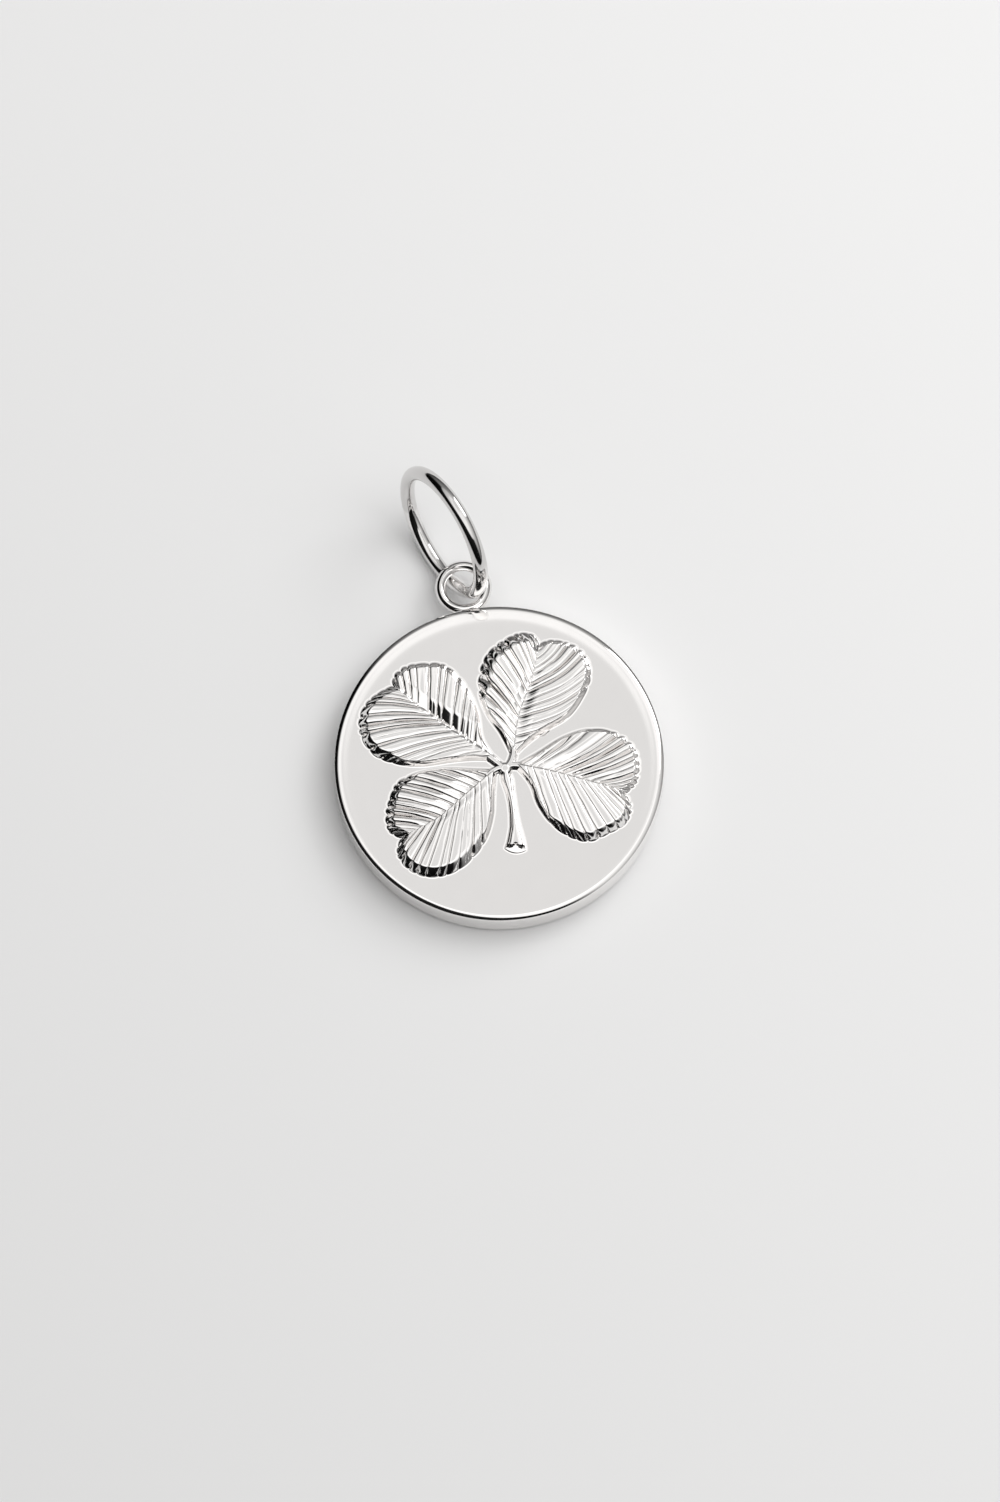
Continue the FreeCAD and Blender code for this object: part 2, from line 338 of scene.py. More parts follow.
def geometry_tree(name, sizes, whole=(), takes_mesh=True):
    """An empty Geometry Nodes tree with named inputs, and what reads them."""
    tree = bpy.data.node_groups.new(name, "GeometryNodeTree")
    tree.is_modifier = True
    if takes_mesh:
        tree.interface.new_socket("Geometry", in_out="INPUT", socket_type="NodeSocketGeometry")
    for size, value in sizes.items():
        kind = "NodeSocketInt" if size in whole else "NodeSocketFloat"
        socket = tree.interface.new_socket(size, in_out="INPUT", socket_type=kind)
        socket.default_value = value
    tree.interface.new_socket("Geometry", in_out="OUTPUT", socket_type="NodeSocketGeometry")
    given = tree.nodes.new("NodeGroupInput")
    fields = {size: Field(tree, given.outputs[size]) for size in sizes}
    return tree, given, fields


def end_tree(tree, geometry, material):
    """Every tree realizes its instances and sets its material last."""
    realized = new_node(tree, "GeometryNodeRealizeInstances", {"Geometry": geometry})
    painted = new_node(tree, "GeometryNodeSetMaterial",
                       {"Geometry": realized.outputs["Geometry"], "Material": material})
    result = tree.nodes.new("NodeGroupOutput")
    tree.links.new(painted.outputs["Geometry"], result.inputs["Geometry"])


def grown_mesh(name, mesh, tree, sizes):
    """The plain mesh that a tree makes of a mesh, with its named sizes set by identifier."""
    holder = bpy.data.objects.new(name, mesh)
    bpy.context.collection.objects.link(holder)
    modifier = holder.modifiers.new(name, "NODES")
    modifier.node_group = tree
    for socket in tree.interface.items_tree:
        if socket.in_out == "INPUT" and socket.name in sizes:
            modifier[socket.identifier] = sizes[socket.name]
    grown = holder.evaluated_get(bpy.context.evaluated_depsgraph_get())
    made = bpy.data.meshes.new_from_object(grown)
    bpy.data.objects.remove(holder)
    return made


def relief_tree(material):
    """Raises a flat sheet into a rounded form with a fillet at its foot, and cuts flutes across it.

    The sheet's points carry their distance inside the margin, their distance on their own side of the
    midrib, their place counted in flutes, how wide a flute is there, their share of the way along the
    midrib, whether the margin beside them is a side or a tip, and the direction out over the margin.
    """
    sizes = {
        "Face Height": FACE_HEIGHT * MM,
        "Relief Height": RELIEF_HEIGHT * MM,
        "Side Slope": SIDE_SLOPE * MM,
        "Tip Slope": SIDE_SLOPE * MM,
        "Slope Roundness": 1.35,
        "Crown": 0.12,
        "Crown Width": 1.5 * MM,
        "Fillet Height": FILLET_HEIGHT * MM,
        "Fillet Width": FILLET_WIDTH * MM,
        "Fillet Dip": 0.001 * MM,
        "Valley Share": 1.0,
        "Fold Width": 0.8 * MM,
        "Fold Taper": 0.6,
        "Fold End": 0.48,
        "Fold End Length": 0.35,
        "Fold End Rise": 0.7,
        "Fold Crease": 0.0,
        "Groove Depth": 0.0,
        "Groove Share": 0.28,
        "Ridge Fullness": 0.4,
        "Middle Groove": 0.3,
        "Midrib Groove": 0.4,
        "Side Fade": 1.3,
        "Tip Fade": 3.0,
        "Tip Notch": 1.1,
        "Scallop": 0.0,
        "Unevenness": 0.65,
        "Deep Flute": 7,
        "Deep Extra": 1.8,
        "Deep Reach": 1.7,
        "Drift": 1.2,
        "Streak Height": 0.0,
        "Dive": 1.3,
        "Seed": 3,
    }
    tree, given, size = geometry_tree("fluted relief", sizes, whole=("Seed", "Deep Flute"))

    def told(name, kind="FLOAT"):
        node = new_node(tree, "GeometryNodeInputNamedAttribute", {"Name": name}, data_type=kind)
        return Field(tree, node.outputs["Attribute"])

    def chance(number, shift):
        """A number from -1 to 1 for each whole number."""
        node = new_node(tree, "FunctionNodeRandomValue", {"ID": number}, data_type="FLOAT")
        node.inputs[2].default_value = -1.0
        node.inputs[3].default_value = 1.0
        tree.links.new((size["Seed"] + float(shift)).socket, node.inputs["Seed"])
        return Field(tree, node.outputs[1])

    margin = told("margin")
    midrib = told("midrib")
    flute = told("flute")
    spacing = told("spacing")
    tip = told("tip")

    slope = size["Side Slope"] + (size["Tip Slope"] - size["Side Slope"]) * tip
    near = (margin / slope).between(0.0, 1.0)
    edge = (near.rest() ** size["Slope Roundness"]).rest()
    swell = ((margin / size["Crown Width"]).between(0.0, 1.0).rest() ** 2.0).rest()
    crown = size["Crown"].rest() + swell * size["Crown"]
    along = told("along")
    fold = size["Fold Width"] * (along * size["Fold Taper"]).rest()
    flat_end = ((along - size["Fold End"]) / size["Fold End Length"]).smooth()
    bottom = size["Valley Share"] + flat_end * size["Valley Share"].rest() * size["Fold End Rise"]
    climb = (midrib.step("ABSOLUTE") / fold).between(0.0, 1.0)
    eased = climb.smooth()
    valley = bottom + (eased + (climb - eased) * size["Fold Crease"]) * bottom.rest()
    body = (size["Relief Height"] - size["Fillet Height"]) * valley * crown * edge
    dive = (midrib * -1.0).step("MAXIMUM", 0.0) * size["Dive"]

    index = (flute + 0.5).step("FLOOR")
    beside_deep = (index - size["Deep Flute"]).step("ABSOLUTE") / size["Deep Reach"]
    deep = beside_deep.between(0.0, 1.0).rest() * size["Deep Extra"]
    uneven = chance(index, 0) * size["Unevenness"] + 1.0 + deep
    ridge = (flute * math.pi).step("SINE").step("ABSOLUTE") ** size["Ridge Fullness"]
    half = chance(flute.step("FLOOR"), 7).between(0.0, 1.0) * size["Middle Groove"]
    half_ridge = (flute * math.pi).step("COSINE").step("ABSOLUTE") ** size["Ridge Fullness"]
    depth = (spacing * size["Groove Share"]).step("MINIMUM", size["Groove Depth"])
    side_fade = (margin / (size["Side Slope"] * size["Side Fade"])).smooth()
    tip_fade = (near * size["Tip Fade"]).smooth()
    fade = side_fade + (tip_fade - side_fade) * tip
    wander = new_node(tree, "ShaderNodeCombineXYZ",
                      {"X": flute * DRIFT_ACROSS, "Y": midrib * DRIFT_ALONG, "Z": size["Seed"] * DRIFT_APART})
    cloud = new_node(tree, "ShaderNodeTexNoise", {"Vector": wander.outputs[0], "Scale": 1.0, "Detail": 2.0})
    drift = (Field(tree, cloud.outputs["Fac"]) - 0.5) * 2.0
    wavering = (drift * size["Drift"] + 1.0).between(LEAST_GROOVE, MOST_GROOVE)
    cut = (ridge.rest() * uneven + half_ridge.rest() * half) * wavering
    notch = near.rest() * size["Tip Notch"] * tip + 1.0
    groove = cut * fade * depth * notch * (climb * size["Midrib Groove"].rest() + size["Midrib Groove"])
    streak = drift * fade * size["Streak Height"]

    away = ((margin * -1.0) / size["Fillet Width"]).between(0.0, 1.0)
    hollow = ((away.rest() ** 2.0).rest() ** 0.5).rest()
    foot = hollow * size["Fillet Height"]
    height = size["Face Height"] - size["Fillet Dip"] + foot + body - groove - dive + streak

    pull = ridge.rest() * uneven * size["Scallop"] * tip * away.rest() * near.rest() * -1.0
    outward = new_node(tree, "GeometryNodeInputNamedAttribute", {"Name": "outward"}, data_type="FLOAT_VECTOR")
    shift = new_node(tree, "ShaderNodeVectorMath", {0: outward.outputs["Attribute"], "Scale": pull},
                     operation="SCALE")
    rise = new_node(tree, "ShaderNodeCombineXYZ", {"Z": height})
    offset = new_node(tree, "ShaderNodeVectorMath", {0: shift.outputs[0], 1: rise.outputs[0]},
                      operation="ADD")
    moved = new_node(tree, "GeometryNodeSetPosition",
                     {"Geometry": given.outputs["Geometry"], "Offset": offset.outputs[0]})
    end_tree(tree, moved.outputs["Geometry"], material)
    return tree


def wire_ring_tree(material):
    """A closed ring of round or pressed wire, leaned about Y and then turned about Z."""
    sizes = {
        "Centreline Radius": 1.25 * MM,
        "Wire Radius": 0.3 * MM,
        "Wire Roundness": 2.0,
        "Lean": 0.0,
        "Heading": 0.0,
        "X": 0.0,
        "Y": 0.0,
        "Z": 0.0,
        "Steps": 160,
        "Wire Steps": 48,
    }
    tree, given, size = geometry_tree("round wire ring", sizes, whole=("Steps", "Wire Steps"),
                                      takes_mesh=False)
    line = new_node(tree, "GeometryNodeCurvePrimitiveCircle",
                    {"Resolution": size["Steps"], "Radius": size["Centreline Radius"]})
    wire = new_node(tree, "GeometryNodeCurvePrimitiveCircle",
                    {"Resolution": size["Wire Steps"], "Radius": size["Wire Radius"]})
    place = new_node(tree, "GeometryNodeInputPosition")
    axes = new_node(tree, "ShaderNodeSeparateXYZ", {0: place.outputs["Position"]})
    across, up = [(Field(tree, axes.outputs[axis]) / size["Wire Radius"]).step("ABSOLUTE") for axis in (0, 1)]
    power = size["Wire Roundness"]
    reach = (across ** power + up ** power) ** ((power ** -1.0) * -1.0)
    pressed = new_node(tree, "ShaderNodeVectorMath", {0: place.outputs["Position"], "Scale": reach},
                       operation="SCALE")
    section = new_node(tree, "GeometryNodeSetPosition",
                       {"Geometry": wire.outputs["Curve"], "Position": pressed.outputs[0]})
    ring = new_node(tree, "GeometryNodeCurveToMesh",
                    {"Curve": line.outputs["Curve"], "Profile Curve": section.outputs["Geometry"]})
    centre = new_node(tree, "ShaderNodeCombineXYZ", {"X": size["X"], "Y": size["Y"], "Z": size["Z"]})
    turn = new_node(tree, "ShaderNodeCombineXYZ", {"Y": size["Lean"], "Z": size["Heading"]})
    laid = new_node(tree, "GeometryNodeTransform",
                    {"Geometry": ring.outputs["Mesh"], "Translation": centre.outputs[0],
                     "Rotation": turn.outputs[0]})
    end_tree(tree, laid.outputs["Geometry"], material)
    return tree


class Curve:
    """A smooth curve through points in the face, read by the share of its length."""

    def __init__(self, points, steps=24):
        points = np.array(points, float)
        lengths = np.linalg.norm(np.diff(points, axis=0), axis=1)
        knots = np.concatenate([[0.0], np.cumsum(lengths)])
        slopes = np.gradient(points, knots, axis=0)
        slopes[0] = 1.5 * (points[1] - points[0]) / lengths[0] - 0.5 * slopes[1]
        slopes[-1] = 1.5 * (points[-1] - points[-2]) / lengths[-1] - 0.5 * slopes[-2]
        rows = [points[:1]]
        for span, length in enumerate(lengths):
            t = np.linspace(0.0, 1.0, steps + 1)[1:, None]
            rows.append((2 * t**3 - 3 * t**2 + 1) * points[span]
                        + (t**3 - 2 * t**2 + t) * length * slopes[span]
                        + (3 * t**2 - 2 * t**3) * points[span + 1]
                        + (t**3 - t**2) * length * slopes[span + 1])
        self.line = np.concatenate(rows)
        run = np.linalg.norm(np.diff(self.line, axis=0), axis=1)
        self.share = np.concatenate([[0.0], np.cumsum(run)]) / run.sum()

    def at(self, share):
        return np.array([np.interp(share, self.share, self.line[:, axis]) for axis in (0, 1)]).T


def distance_to(points, line):
    """Each point's distance to a line of short straight runs."""
    best = np.full(len(points), np.inf)
    for start, end in zip(line[:-1], line[1:]):
        run = end - start
        share = np.clip((points - start) @ run / max(run @ run, 1e-12), 0.0, 1.0)
        best = np.minimum(best, np.linalg.norm(points - start - share[:, None] * run, axis=1))
    return best


def row_shares(length):
    """The shares of a flute's length at which it has points."""
    squeeze = min(1.0, length / SHORTEST_FULL_ROWS)
    near = [place * squeeze for place in MIDRIB_ROWS]
    far = [length - place * squeeze for place in MARGIN_ROWS]
    middle = [near[-1] + (far[0] - near[-1]) * step / (MIDDLE_ROWS + 1) for step in range(1, MIDDLE_ROWS + 1)]
    return np.array(near + middle + far) / max(length, 1e-6)


def square_to(line, inside):
    """At each point of a line, the direction square to it and away from an inside point."""
    along = np.gradient(line, axis=0)
    out = np.stack([along[:, 1], -along[:, 0]], axis=1)
    out /= np.maximum(np.linalg.norm(out, axis=1), 1e-9)[:, None]
    side = np.sign(((line - inside) * out).sum())
    return out * side


def sheet_mesh(name, grid, border_cells, inside, told):
    """A flat sheet of a grid of points, widened by the fillet beyond its border, with what the tree reads.

    What is told of each grid point is given by name, and a fillet point has what its border point has.
    """
    rows, columns = grid.shape[:2]
    cell = np.arange(rows * columns).reshape(rows, columns)
    corners = np.stack([cell[:-1, :-1], cell[:-1, 1:], cell[1:, 1:], cell[1:, :-1]], axis=2)
    faces = [tuple(face) for face in corners.reshape(-1, 4).tolist()]
    previous = [int(cell[place]) for place in border_cells]
    border = grid.reshape(-1, 2)[previous]
    out = square_to(border, inside)
    points = [grid.reshape(-1, 2)]
    sources = [np.arange(rows * columns)]
    border_places = np.array(previous)
    start = rows * columns
    for share in FILLET_ROWS:
        points.append(border + out * share * FILLET_WIDTH)
        sources.append(border_places)
        current = list(range(start, start + len(border)))
        start += len(border)
        for first in range(len(border) - 1):
            faces.append((previous[first], current[first], current[first + 1], previous[first + 1]))
        previous = current
    flat = np.concatenate(points)
    source = np.concatenate(sources)
    margin = distance_to(flat, border)
    margin[rows * columns:] *= -1.0
    nearest = np.argmin(((flat[:, None, :] - border[None]) ** 2).sum(axis=2), axis=1)
    values = {label: value.reshape(-1)[source] for label, value in told.items()}
    values["margin"] = margin * MM
    values["tip"] = told["tip"].reshape(-1)[border_places][nearest]
    mesh = bpy.data.meshes.new(name)
    mesh.from_pydata([(x * MM, y * MM, 0.0) for x, y in flat], [], faces)
    for label, value in values.items():
        mesh.attributes.new(label, "FLOAT", "POINT").data.foreach_set("value", value)
    directions = np.zeros((len(flat), 3))
    directions[:, :2] = out[nearest]
    outward = mesh.attributes.new("outward", "FLOAT_VECTOR", "POINT")
    outward.data.foreach_set("vector", directions.reshape(-1))
    return mesh


def lobe_sheet(leaf, lobe, shifts):
    """The flat sheet of one lobe, with columns of points along its flutes and rows across them."""
    midrib = Curve(leaf.midrib)
    margin = Curve(lobe.side + lobe.tip + leaf.midrib[-1:])
    places = FIRST_COLUMNS + FLUTE_COLUMNS[1:]
    places += [flute + share for flute in range(1, FLUTES) for share in FLUTE_COLUMNS] + [FLUTES]
    places = np.array(places, float)
    along = np.interp(places, np.arange(FLUTES + 1), shifts) / FLUTES
    starts = midrib.at(along)
    ends = margin.at(along ** lobe.sweep)
    columns = []
    for start, end in zip(starts, ends):
        run = end - start
        shares = row_shares(np.linalg.norm(run))[:, None]
        bow = np.array([run[1], -run[0]]) * lobe.bend * np.sin(np.pi * np.clip(shares, 0.0, 1.0))
        columns.append(start + run * shares + bow)
    grid = np.stack(columns, axis=1)
    inside = grid[grid.shape[0] // 2, grid.shape[1] // 2]
    over = MIDRIB_OVERLAP + lobe.ragged * np.abs(np.sin(np.pi * places))
    over *= np.clip(np.minimum(along, 1.0 - along) / OVERLAP_END, 0.0, 1.0)
    beyond = starts + square_to(starts, inside) * over[:, None]
    grid = np.concatenate([beyond[None], grid], axis=0)
    rows = grid.shape[0]
    spacing = np.linalg.norm(np.gradient(grid, places, axis=1), axis=2)
    midrib_distance = distance_to(grid.reshape(-1, 2), midrib.line).reshape(grid.shape[:2])
    midrib_distance[0] = lobe.ragged * 0.5 - over
    side_length = np.linalg.norm(np.diff(np.array(lobe.side), axis=0), axis=1).sum()
    whole = lobe.side + lobe.tip + leaf.midrib[-1:]
    whole_length = np.linalg.norm(np.diff(np.array(whole), axis=0), axis=1).sum()
    tip = np.clip((along ** lobe.sweep - side_length / whole_length) / TIP_BLEND + 0.5, 0.0, 1.0)
    told = {
        "flute": np.tile(places, (rows, 1)),
        "along": np.tile(along, (rows, 1)),
        "tip": np.tile(tip, (rows, 1)),
        "spacing": spacing * MM,
        "midrib": midrib_distance * MM,
    }
    border = [(rows - 1, column) for column in range(grid.shape[1])]
    return sheet_mesh(f"{leaf.name}_{lobe.name}", grid, border, inside, told)


def rib_sheet(name, stations, bulge):
    """The flat sheet of a stem or stalk along its stations, with a rounded far end."""
    line = Curve([(station.x, station.y) for station in stations])
    shares = np.linspace(0.0, 1.0, RIB_STEPS * (len(stations) - 1) + 1)
    across = np.sin(np.linspace(-0.5, 0.5, RIB_ROWS) * math.pi)
    centres = line.at(shares)
    along = np.gradient(centres, axis=0)
    along /= np.linalg.norm(along, axis=1)[:, None]
    sideways = np.stack([along[:, 1], -along[:, 0]], axis=1)
    widths = np.interp(shares, np.linspace(0.0, 1.0, len(stations)), [station.width for station in stations])
    grid = centres[None] + across[:, None, None] * (widths[:, None] / 2 * sideways)[None]
    reach = np.clip((shares - BULGE_START) / (1.0 - BULGE_START), 0.0, 1.0) * bulge
    grid += (1.0 - across[:, None, None] ** 2) * (reach[:, None] * along)[None]
    rows, columns = grid.shape[:2]
    border = [(0, column) for column in range(columns)]
    border += [(row, columns - 1) for row in range(1, rows)]
    border += [(rows - 1, column) for column in range(columns - 2, -1, -1)]
    told = {
        "flute": np.full((rows, columns), 0.5),
        "along": np.zeros((rows, columns)),
        "tip": np.tile(np.clip((shares - RIB_TIP) / RIB_TIP_BLEND, 0.0, 1.0), (rows, 1)),
        "spacing": np.full((rows, columns), MM),
        "midrib": np.full((rows, columns), MM),
    }
    return sheet_mesh(name, grid, border, centres[columns // 2], told)


def closed_from_sheet(mesh, foot):
    """Close a raised sheet with walls round its border and a flat foot."""
    work = bmesh.new()
    work.from_mesh(mesh)
    bmesh.ops.remove_doubles(work, verts=work.verts, dist=SAME_POINT)
    bmesh.ops.dissolve_degenerate(work, edges=work.edges, dist=NO_LENGTH)
    top = list(work.faces)
    bmesh.ops.recalc_face_normals(work, faces=top)
    if sum(face.normal.z * face.calc_area() for face in top) < 0:
        bmesh.ops.reverse_faces(work, faces=top)
    twin = {point: work.verts.new((point.co.x, point.co.y, foot)) for point in list(work.verts)}
    border = [edge for edge in work.edges if len(edge.link_faces) == 1]
    for face in top:
        work.faces.new([twin[point] for point in reversed(face.verts)])
    for edge in border:
        loop = edge.link_loops[0]
        first = loop.vert
        second = loop.link_loop_next.vert
        work.faces.new((second, first, twin[first], twin[second]))
    work.to_mesh(mesh)
    work.free()
    return mesh


def disc_mesh():
    """The disc, turned from its half section."""
    section = []
    for step in range(BACK_EDGE_STEPS + 1):
        angle = math.radians(-90 + 90 * step / BACK_EDGE_STEPS)
        section.append((DISC_RADIUS - BACK_EDGE_RADIUS * (1 - math.cos(angle)),
                        BACK_EDGE_RADIUS * (1 + math.sin(angle))))
    edge = Curve(FACE_EDGE, steps=FACE_EDGE_STEPS).line
    wall_top = FACE_HEIGHT + edge[0][1]
    for step in range(1, WALL_STEPS):
        section.append((DISC_RADIUS, BACK_EDGE_RADIUS + (wall_top - BACK_EDGE_RADIUS) * step / WALL_STEPS))
    for out, up in edge:
        section.append((DISC_RADIUS + out, FACE_HEIGHT + up))
    work = bmesh.new()
    rings = []
    for radius, height in section:
        ring = []
        for step in range(DISC_SEGMENTS):
            turn = math.tau * step / DISC_SEGMENTS
            x, y = radius * math.cos(turn), radius * math.sin(turn)
            ring.append(work.verts.new((x * MM, y * MM, height * MM)))
        rings.append(ring)
    for low, high in zip(rings, rings[1:]):
        for step in range(DISC_SEGMENTS):
            after = (step + 1) % DISC_SEGMENTS
            work.faces.new((low[step], low[after], high[after], high[step]))
    work.faces.new(rings[-1])
    work.faces.new(rings[0][::-1])
    mesh = bpy.data.meshes.new("disc")
    work.to_mesh(mesh)
    work.free()
    return mesh


def solder_mesh():
    """The small bead of solder between the eye and the rim."""
    work = bmesh.new()
    bmesh.ops.create_uvsphere(work, u_segments=32, v_segments=20, radius=SOLDER_RADIUS * MM)
    stretch = (SOLDER_HALF_LENGTH + SOLDER_RADIUS) / SOLDER_RADIUS
    for point in work.verts:
        point.co.x *= stretch
        point.co.y += DISC_RADIUS * MM
        point.co.z += EYE_CENTRE[2] * MM
    mesh = bpy.data.meshes.new("solder")
    work.to_mesh(mesh)
    work.free()
    return mesh


def united(meshes, name):
    """One closed mesh of several overlapping closed meshes."""
    holders = []
    for mesh in meshes:
        holder = bpy.data.objects.new(mesh.name, mesh)
        bpy.context.collection.objects.link(holder)
        holders.append(holder)
    for other in holders[1:]:
        modifier = holders[0].modifiers.new(other.name, "BOOLEAN")
        modifier.operation = "UNION"
        modifier.solver = "MANIFOLD"
        modifier.object = other
    first = holders[0].evaluated_get(bpy.context.evaluated_depsgraph_get())
    made = bpy.data.meshes.new_from_object(first)
    made.name = name
    for holder in holders:
        bpy.data.objects.remove(holder)
    return made


def without_slivers(mesh):
    """Make the mesh triangles, without edges of no length or faces back to back on the same points."""
    work = bmesh.new()
    work.from_mesh(mesh)
    bmesh.ops.dissolve_degenerate(work, edges=work.edges, dist=NO_LENGTH)
    bmesh.ops.triangulate(work, faces=work.faces[:])
    same_points = {}
    for face in work.faces:
        same_points.setdefault(frozenset(face.verts), []).append(face)
    folded = [face for faces in same_points.values() if len(faces) > 1 for face in faces]
    bmesh.ops.delete(work, geom=folded, context="FACES")
    work.to_mesh(mesh)
    work.free()


def crisp_shading(mesh):
    """Smooth shading, but for creases and for the border of the level face, which stays flat."""
    work = bmesh.new()
    work.from_mesh(mesh)
    limit = math.radians(CREASE)
    level = FACE_HEIGHT * MM

    def is_level(face):
        return face.normal.z > 0.99999 and abs(face.calc_center_median().z - level) < NO_LENGTH

    for face in work.faces:
        face.smooth = True
    for edge in work.edges:
        if len(edge.link_faces) != 2:
            continue
        first, second = edge.link_faces
        edge.smooth = edge.calc_face_angle(0.0) < limit and is_level(first) == is_level(second)
    work.to_mesh(mesh)
    work.free()


def piece(name, mesh, material):
    """An object at the origin with one material."""
    mesh.materials.clear()
    mesh.materials.append(material)
    obj = bpy.data.objects.new(name, mesh)
    bpy.context.collection.objects.link(obj)
    return obj


def polished_silver():
    """Mirror polished silver with hand polishing's faint scuffs, soft waves and hairlines, and painted shade
    on the wire.
    """
    material = bpy.data.materials.new("polished silver")
    material.use_nodes = True
    tree = material.node_tree
    shader = tree.nodes["Principled BSDF"]
    shader.inputs["Metallic"].default_value = 1.0
    place = new_node(tree, "ShaderNodeTexCoord")
    spots = new_node(tree, "ShaderNodeMapping",
                     {"Vector": place.outputs["Object"], "Scale": (SCUFF_SCALE,) * 3})
    cloud = new_node(tree, "ShaderNodeTexNoise",
                     {"Vector": spots.outputs[0], "Scale": 1.0, "Detail": 5.0, "Roughness": 0.6})
    scuffs = Field(tree, cloud.outputs["Fac"])
    split = new_node(tree, "ShaderNodeSeparateXYZ", {0: place.outputs["Object"]})
    # Painted shade: the wire of the eye and the bail ring is darkened to stand in for the shaded surroundings
    # it mirrors
    wire = ((Field(tree, split.outputs["Y"]) - WIRE_START * MM) / (WIRE_BLEND * MM)).smooth()
    level = (Field(tree, split.outputs["Z"]) - EYE_CENTRE[2] * MM).step("ABSOLUTE")
    past_eye = ((level - EYE_LEVEL * MM) / (EYE_LEVEL_BLEND * MM)).smooth()
    wire = wire * (past_eye * (1.0 - EYE_PAINTED_SHADE_SHARE) + EYE_PAINTED_SHADE_SHARE)
    shade = (scuffs * -SCUFF_SHADE + SILVER_SHADE) * (wire * -WIRE_PAINTED_SHADE + 1.0)
    tone = new_node(tree, "ShaderNodeCombineColor",
                    {"Red": shade, "Green": shade * SILVER_GREEN, "Blue": shade * SILVER_BLUE})
    tree.links.new(tone.outputs[0], shader.inputs["Base Color"])
    tree.links.new((scuffs.smooth() * SCUFF_ROUGHNESS + SMOOTHEST).socket, shader.inputs["Roughness"])
    swell = new_node(tree, "ShaderNodeTexNoise",
                     {"Vector": place.outputs["Object"], "Scale": WAVE_SCALE, "Detail": 1.0})
    wave = new_node(tree, "ShaderNodeBump",
                    {"Strength": 1.0, "Distance": WAVE_HEIGHT * MM, "Height": swell.outputs["Fac"]})
    fine = new_node(tree, "ShaderNodeMapping",
                    {"Vector": place.outputs["Object"], "Rotation": (0.0, 0.0, HAIRLINE_TURN),
                     "Scale": HAIRLINE_SCALE})
    hairs = new_node(tree, "ShaderNodeTexNoise", {"Vector": fine.outputs[0], "Scale": 1.0, "Detail": 2.0})
    bump = new_node(tree, "ShaderNodeBump",
                    {"Strength": HAIRLINE_STRENGTH, "Distance": HAIRLINE_HEIGHT * MM,
                     "Height": hairs.outputs["Fac"], "Normal": wave.outputs["Normal"]})
    tree.links.new(bump.outputs["Normal"], shader.inputs["Normal"])
    return material


def table_material():
    """A pale matt table top with a painted light falloff, a little darker towards the front left."""
    material = bpy.data.materials.new("pale table")
    material.use_nodes = True
    tree = material.node_tree
    shader = tree.nodes["Principled BSDF"]
    shader.inputs["Roughness"].default_value = 0.75
    place = new_node(tree, "ShaderNodeTexCoord")
    split = new_node(tree, "ShaderNodeSeparateXYZ", {0: place.outputs["Object"]})
    across, up = [Field(tree, split.outputs[axis]) for axis in ("X", "Y")]
    # Painted light: a gradient that stands in for the lamps' falloff, lighter to the right and to the back
    painted_falloff = (across * TABLE_PAINTED_LIGHT_RIGHT + up * TABLE_PAINTED_LIGHT_BACK).between(-1.0, 1.0)
    shade = painted_falloff * TABLE_PAINTED_LIGHT_SPREAD + TABLE_SHADE
    tone = new_node(tree, "ShaderNodeCombineColor", {"Red": shade, "Green": shade, "Blue": shade})
    tree.links.new(tone.outputs[0], shader.inputs["Base Color"])
    return material


def studio_world():
    """Soft light from all round, with a grey cap overhead and a dark side low down at the front left."""
    world = bpy.data.worlds.new("studio")
    world.use_nodes = True
    bpy.context.scene.world = world
    tree = world.node_tree
    place = new_node(tree, "ShaderNodeTexCoord")
    split = new_node(tree, "ShaderNodeSeparateXYZ", {0: place.outputs["Generated"]})
    x, y, z = [Field(tree, split.outputs[axis]) for axis in range(3)]
    flat = (x * x + y * y + 1e-6) ** 0.5

    def towards(degrees):
        heading = math.radians(degrees)
        return x * math.cos(heading) + y * math.sin(heading)

    lean = math.radians(OVERHEAD_LEAN)
    to_cap = towards(OVERHEAD_HEADING) * math.sin(lean) + z * math.cos(lean)
    overhead = ((to_cap - OVERHEAD_REACH) / OVERHEAD_BLEND).smooth()
    front = (y / flat * -0.5 + 0.5).smooth()
    band = ((z - BACK_BAND_HEIGHT) / BACK_BAND_BLEND).smooth()
    back = band * (BACK_BAND_LIGHT - BACK_LIGHT) + BACK_LIGHT
    around = front * (back * -1.0 + FRONT_LIGHT) + back
    light = overhead * (around * -1.0 + OVERHEAD_LIGHT) + around
    fade = (z / HORIZON_TOP).between(0.0, 1.0) ** HORIZON_POWER
    light = light * (fade * (1.0 - HORIZON_SHARE) + HORIZON_SHARE)

    wall_side = ((towards(WALL_HEADING) / flat - WALL_FACING) / WALL_FACING_BLEND).smooth()
    wall = wall_side * ((z - WALL_TOP) / WALL_TOP_BLEND).smooth().rest()
    light = light * (wall * (WALL_SHARE - 1.0) + 1.0)

    dark_side = ((towards(DARK_HEADING) / flat - DARK_FACING) / DARK_FACING_BLEND).smooth()
    peak = (towards(DARK_PEAK_HEADING) / flat).between(0.0, 1.0) ** 2.0 * DARK_PEAK_RISE
    above = ((z - DARK_TOP - peak) / DARK_TOP_BLEND).smooth()
    low = ((z - DARK_FOOT) / DARK_FOOT_BLEND).smooth() * above.rest()
    light = light * (dark_side * low * -DARKNESS + 1.0)

    shade = new_node(tree, "ShaderNodeCombineColor",
                     {"Red": light, "Green": light * LIGHT_GREEN, "Blue": light * LIGHT_BLUE})
    background = tree.nodes["Background"]
    tree.links.new(shade.outputs[0], background.inputs["Color"])
    bpy.context.scene.view_settings.view_transform = "Standard"


